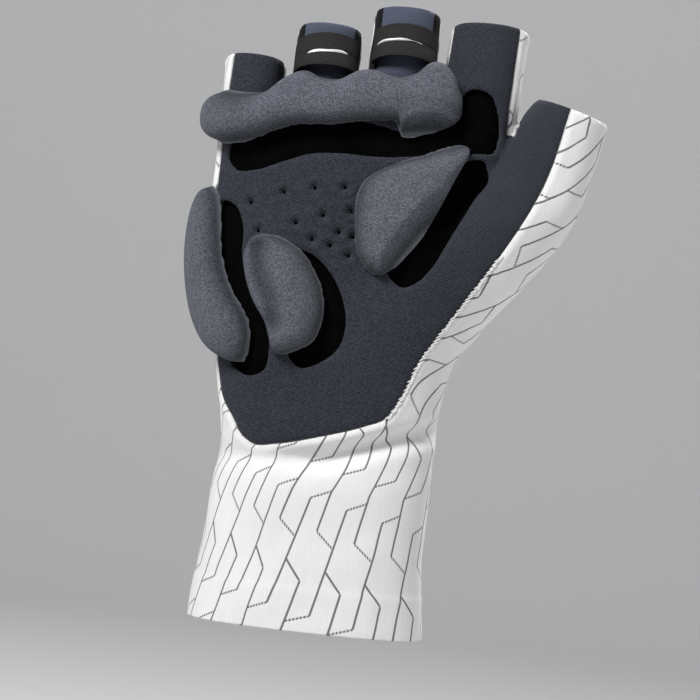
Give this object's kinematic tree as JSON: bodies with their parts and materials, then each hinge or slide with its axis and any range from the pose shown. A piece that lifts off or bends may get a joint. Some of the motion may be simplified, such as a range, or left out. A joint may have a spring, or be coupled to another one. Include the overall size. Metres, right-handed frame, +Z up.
{
  "type": "cycling glove",
  "caption": "Half-finger cycling glove with a long knitted cuff, padded palm with cut windows, and pull tabs on two fingers.",
  "frame": {"origin": "centre of the cuff's mouth, where the hand goes in and the glove is held up as on a raised hand", "axes": "+Z up the fingers, palm faces -Y, thumb at +X"},
  "size_m": [0.1262, 0.0484, 0.1935],
  "materials": {
    "palm_fabric": "matt twill knit, dark slate",
    "pad_fabric": "matt twill knit over foam, slate",
    "white_knit": "matt fine knit, white with thin dark lines",
    "black_lining": "matt black mesh",
    "black_webbing": "ribbed black webbing",
    "reflective_strip": "silver reflective tape"
  },
  "bodies": {
    "root": {"palm_panel": "palm_fabric", "back_of_hand": "white_knit", "cuff": "white_knit", "thumb_gusset": "white_knit", "finger_backs": "white_knit", "palm_lining": "black_lining", "metacarpal_pad": "pad_fabric", "thumb_web_pad": "pad_fabric", "outer_heel_pad": "pad_fabric", "inner_heel_pad": "pad_fabric", "ring_pull_tab": "black_webbing", "middle_pull_tab": "black_webbing", "ring_reflective_strip": "reflective_strip", "middle_reflective_strip": "reflective_strip"}
  },
  "joints": []
}
